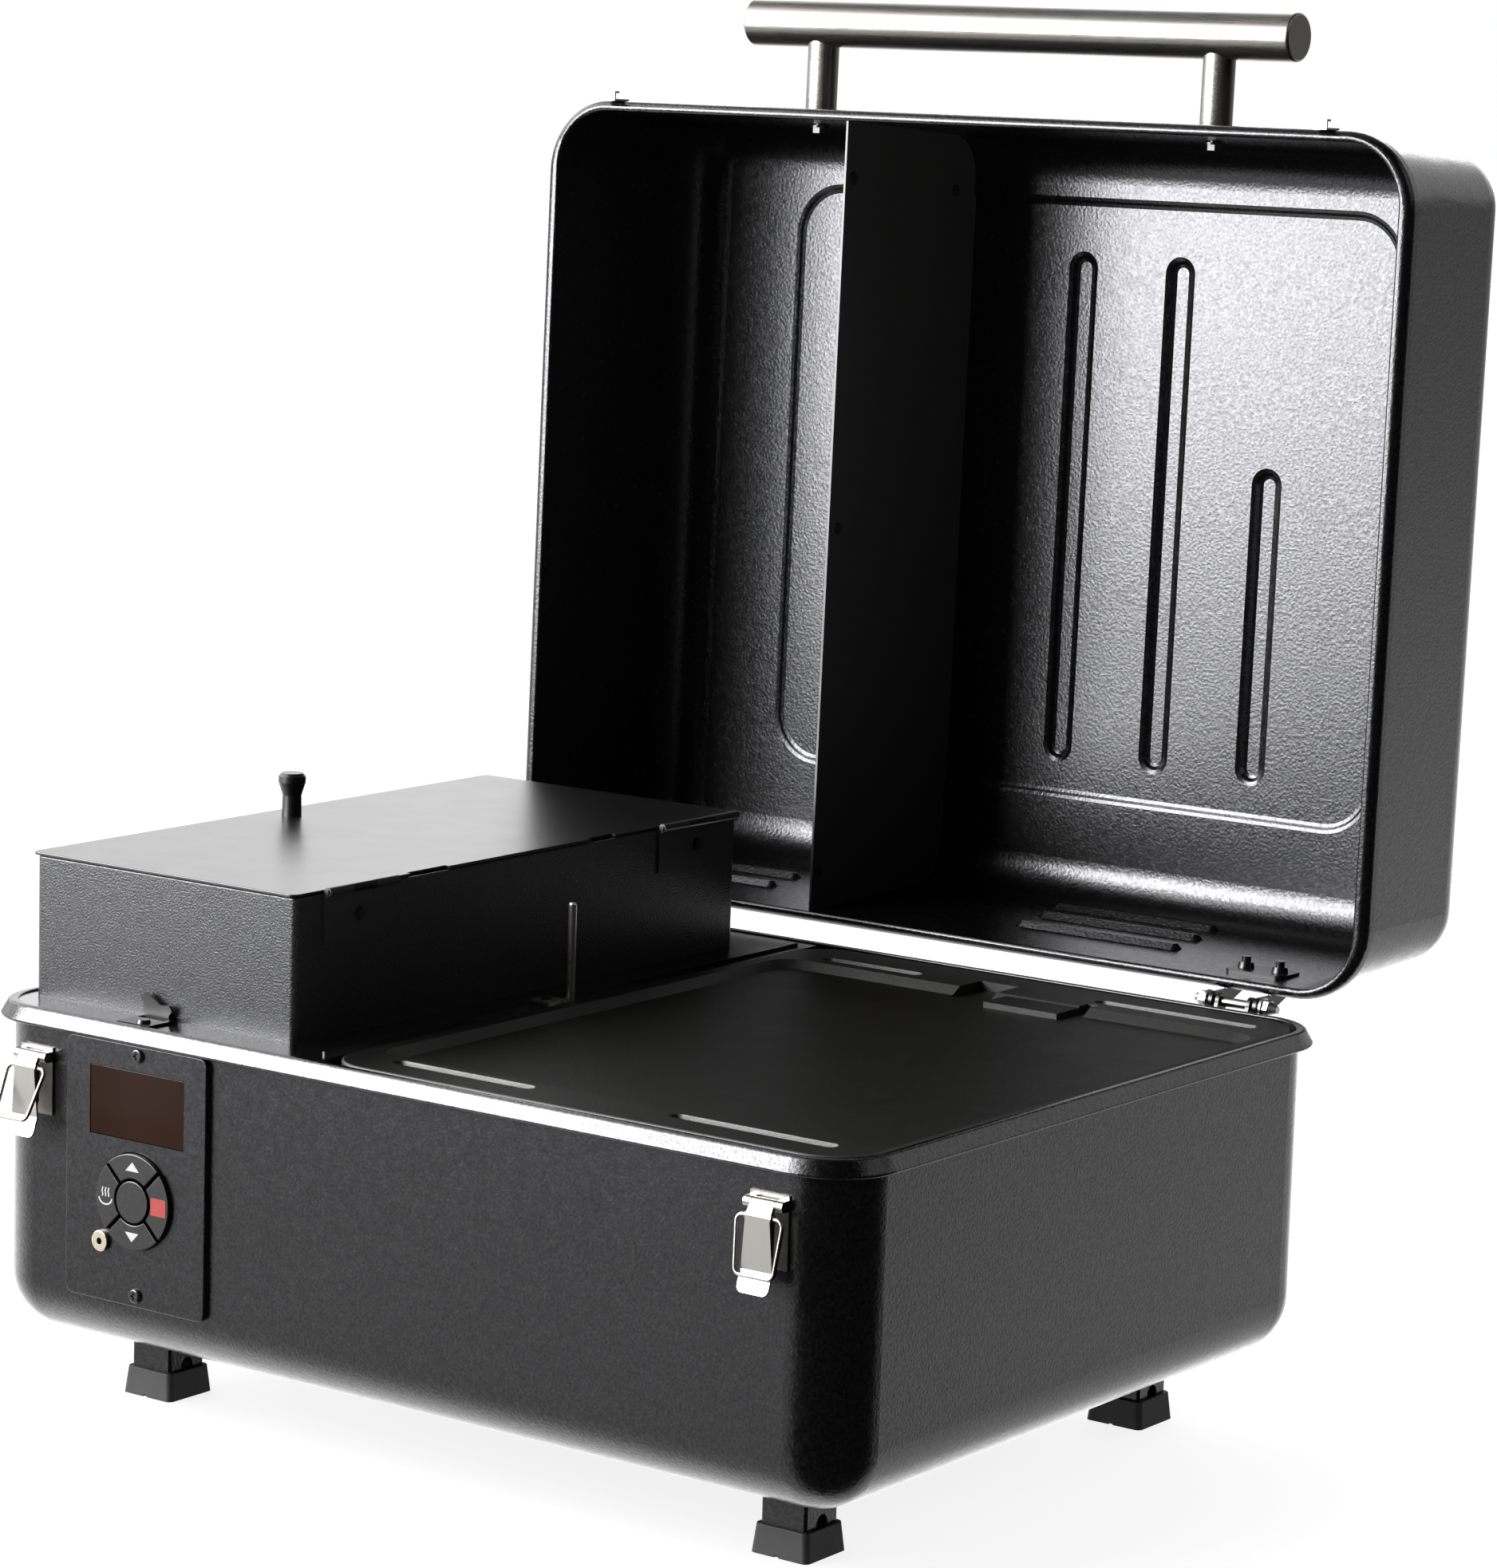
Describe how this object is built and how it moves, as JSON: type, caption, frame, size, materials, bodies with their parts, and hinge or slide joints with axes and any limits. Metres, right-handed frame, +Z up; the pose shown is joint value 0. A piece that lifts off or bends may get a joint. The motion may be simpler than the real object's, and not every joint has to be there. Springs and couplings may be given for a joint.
{
  "type": "portable pellet smoker grill",
  "caption": "Black tabletop pellet grill: open briefcase-style lid with tube handle, pellet hopper, cast griddle, keypad panel, draw latches and short rubber-capped legs.",
  "frame": {"origin": "on the floor, under the middle of the tub", "axes": "+X to the right along the front, +Y to the back, +Z up"},
  "size_m": [0.542, 0.5992, 0.7044],
  "materials": {
    "black_powder_coat": "textured semi-gloss black powder coat",
    "smooth_black": "smooth satin black",
    "cast_iron": "matte seasoned cast iron",
    "stainless": "bright stainless steel",
    "zinc_plate": "plated fasteners",
    "steel": "plain mild steel",
    "galvanised": "aluminised sheet",
    "rubber": "moulded rubber",
    "key_plastic": "fine grained black plastic with white marks",
    "window_plastic": "tinted glossy window",
    "black_plastic": "black plastic",
    "board": "circuit board",
    "brass": "plated ring"
  },
  "bodies": {
    "tub": {"tub_shell": "black_powder_coat", "hopper_box": "black_powder_coat", "leg_front_left": "black_powder_coat", "leg_front_right": "black_powder_coat", "leg_rear_left": "black_powder_coat", "leg_rear_right": "black_powder_coat", "panel_plate": "black_powder_coat", "griddle_frame": "black_powder_coat", "deck_plate": "smooth_black", "hopper_hinge_leaves": "smooth_black", "hopper_clip": "smooth_black", "tub_hinge_brackets": "smooth_black", "firepot": "cast_iron", "latch_left_base": "stainless", "latch_right_base": "stainless", "hinge_rods": "stainless", "temp_probe": "stainless", "hinge_cap_nuts": "zinc_plate", "panel_screws": "zinc_plate", "hopper_screws": "zinc_plate", "latch_pins": "zinc_plate", "hopper_hinge_pins": "zinc_plate", "auger_tube": "steel", "heat_baffle": "steel", "firewall": "steel", "igniter": "steel", "fan_housing": "galvanised", "fan_motor": "galvanised", "auger_motor": "galvanised", "foot_cap_front_left": "rubber", "foot_cap_front_right": "rubber", "foot_cap_rear_left": "rubber", "foot_cap_rear_right": "rubber", "display_window": "window_plastic", "power_inlet": "black_plastic", "controller_board": "board", "probe_jack": "brass"},
    "lid": {"lid_shell": "black_powder_coat", "lid_divider": "smooth_black", "divider_rivets": "zinc_plate", "handle_bar": "stainless", "handle_posts": "stainless", "handle_screws": "zinc_plate", "lid_catches": "stainless", "lid_hinge_brackets": "smooth_black"},
    "hopper_cover": {"hopper_lid": "smooth_black", "hopper_knob": "black_plastic"},
    "griddle_plate": {"griddle": "cast_iron"},
    "grease_tray": {"drip_tray": "steel"},
    "auger_screw": {"auger": "steel"},
    "fan_wheel": {"fan_rotor": "black_plastic"},
    "button_up": {"key_up": "key_plastic"},
    "button_down": {"key_down": "key_plastic"},
    "button_left": {"key_left": "key_plastic"},
    "button_right": {"key_right": "key_plastic"},
    "button_centre": {"key_centre": "key_plastic"},
    "latch_left_lever_body": {"latch_left_lever": "stainless"},
    "latch_left_bail_body": {"latch_left_bail": "stainless"},
    "latch_right_lever_body": {"latch_right_lever": "stainless"},
    "latch_right_bail_body": {"latch_right_bail": "stainless"}
  },
  "joints": [
    {"name": "lid_hinge", "type": "hinge", "parent": "tub", "child": "lid", "pos_m": [0, 0.2255, 0.2025], "axis": [-1, 0, 0], "range_deg": [-91.6, 0]},
    {"name": "hopper_lid_hinge", "type": "hinge", "parent": "tub", "child": "hopper_cover", "pos_m": [-0.077, 0, 0.2742], "axis": [0, 1, 0], "range_deg": [0, 95]},
    {"name": "latch_left_lever_pivot", "type": "hinge", "parent": "tub", "child": "latch_left_lever_body", "pos_m": [-0.226, -0.2124, 0.1795], "axis": [-1, 0, 0], "range_deg": [0, 110]},
    {"name": "latch_left_bail_pivot", "type": "hinge", "parent": "latch_left_lever_body", "child": "latch_left_bail_body", "pos_m": [-0.226, -0.216, 0.1742], "axis": [1, 0, 0], "range_deg": [-141.9, 0]},
    {"name": "latch_right_lever_pivot", "type": "hinge", "parent": "tub", "child": "latch_right_lever_body", "pos_m": [0.2195, -0.2124, 0.1795], "axis": [-1, 0, 0], "range_deg": [0, 110]},
    {"name": "latch_right_bail_pivot", "type": "hinge", "parent": "latch_right_lever_body", "child": "latch_right_bail_body", "pos_m": [0.2195, -0.216, 0.1742], "axis": [1, 0, 0], "range_deg": [-159.9, 0]},
    {"name": "button_up_press", "type": "slide", "parent": "tub", "child": "button_up", "axis": [0, 1, 0], "range_m": [0, 0.001], "stiffness_N_per_m": 300},
    {"name": "button_down_press", "type": "slide", "parent": "tub", "child": "button_down", "axis": [0, 1, 0], "range_m": [0, 0.001], "stiffness_N_per_m": 300},
    {"name": "button_left_press", "type": "slide", "parent": "tub", "child": "button_left", "axis": [0, 1, 0], "range_m": [0, 0.001], "stiffness_N_per_m": 300},
    {"name": "button_right_press", "type": "slide", "parent": "tub", "child": "button_right", "axis": [0, 1, 0], "range_m": [0, 0.001], "stiffness_N_per_m": 300},
    {"name": "button_centre_press", "type": "slide", "parent": "tub", "child": "button_centre", "axis": [0, 1, 0], "range_m": [0, 0.001], "stiffness_N_per_m": 300},
    {"name": "auger_spin", "type": "hinge", "parent": "tub", "child": "auger_screw", "pos_m": [0, 0, 0.082], "axis": [1, 0, 0], "continuous": true},
    {"name": "fan_spin", "type": "hinge", "parent": "tub", "child": "fan_wheel", "pos_m": [-0.165, 0.17, 0.095], "axis": [0, 1, 0], "continuous": true},
    {"name": "griddle_lift", "type": "slide", "parent": "tub", "child": "griddle_plate", "axis": [0, 0, 1], "range_m": [0, 0.15]},
    {"name": "grease_tray_lift", "type": "slide", "parent": "tub", "child": "grease_tray", "axis": [0, 0, 1], "range_m": [0, 0.012]}
  ]
}
